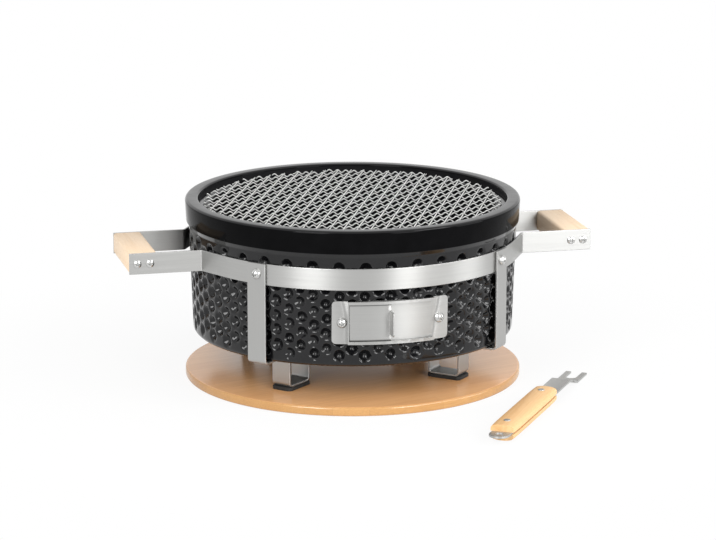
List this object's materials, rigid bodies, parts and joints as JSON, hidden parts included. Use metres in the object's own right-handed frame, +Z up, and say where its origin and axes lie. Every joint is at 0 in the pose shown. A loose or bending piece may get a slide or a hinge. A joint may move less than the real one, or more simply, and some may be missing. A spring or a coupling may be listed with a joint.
{
  "type": "tabletop charcoal grill",
  "caption": "Round black glazed ceramic table grill with steel band, wooden handles, sliding air door and woven wire grid, on a bamboo board with its forked grid lifter.",
  "frame": {"origin": "middle of the bamboo board's underside, on the table", "axes": "+Z up, -Y towards the air door, X along the two handles"},
  "size_m": [0.47, 0.4612, 0.1822],
  "materials": {
    "glaze": "gloss black glaze over a dimpled wall",
    "steel": "satin stainless strip",
    "wire": "bright stainless wire",
    "beech": "pale oiled beech",
    "bamboo": "laminated bamboo, clear lacquer",
    "rubber": "matt black rubber",
    "iron": "bare cast iron"
  },
  "bodies": {
    "board": {"bamboo_board": "bamboo"},
    "grill": {"ceramic_base": "glaze", "ceramic_wall": "glaze", "ceramic_rim": "glaze", "band_front": "steel", "band_rear": "steel", "leg_strap_a": "steel", "leg_strap_b": "steel", "fixings": "steel", "foot_pad_front_right": "rubber", "foot_pad_front_left": "rubber", "foot_pad_rear_right": "rubber", "foot_pad_rear_left": "rubber", "handle_right": "beech", "handle_left": "beech", "vent_frame": "steel"},
    "air_door": {"vent_door": "steel"},
    "grate": {"charcoal_grate": "iron"},
    "cooking_grid": {"grid_warp": "wire", "grid_weft": "wire"},
    "lifter": {"lifter_blade": "steel", "lifter_scale_lower": "bamboo", "lifter_scale_upper": "bamboo"}
  },
  "joints": [
    {"name": "grill_lift", "type": "slide", "parent": "board", "child": "grill", "axis": [0, 0, 1], "range_m": [0, 0.15]},
    {"name": "air_door_slide", "type": "hinge", "parent": "grill", "child": "air_door", "pos_m": [0, 0, 0.092], "axis": [0, 0, 1], "range_deg": [0, 15]},
    {"name": "cooking_grid_lift", "type": "slide", "parent": "grill", "child": "cooking_grid", "axis": [0, 0, 1], "range_m": [0, 0.15]},
    {"name": "charcoal_grate_lift", "type": "slide", "parent": "grill", "child": "grate", "axis": [0, 0, 1], "range_m": [0, 0.055]},
    {"name": "lifter_pickup", "type": "slide", "parent": "board", "child": "lifter", "axis": [0, 0, 1], "range_m": [0, 0.1]}
  ]
}
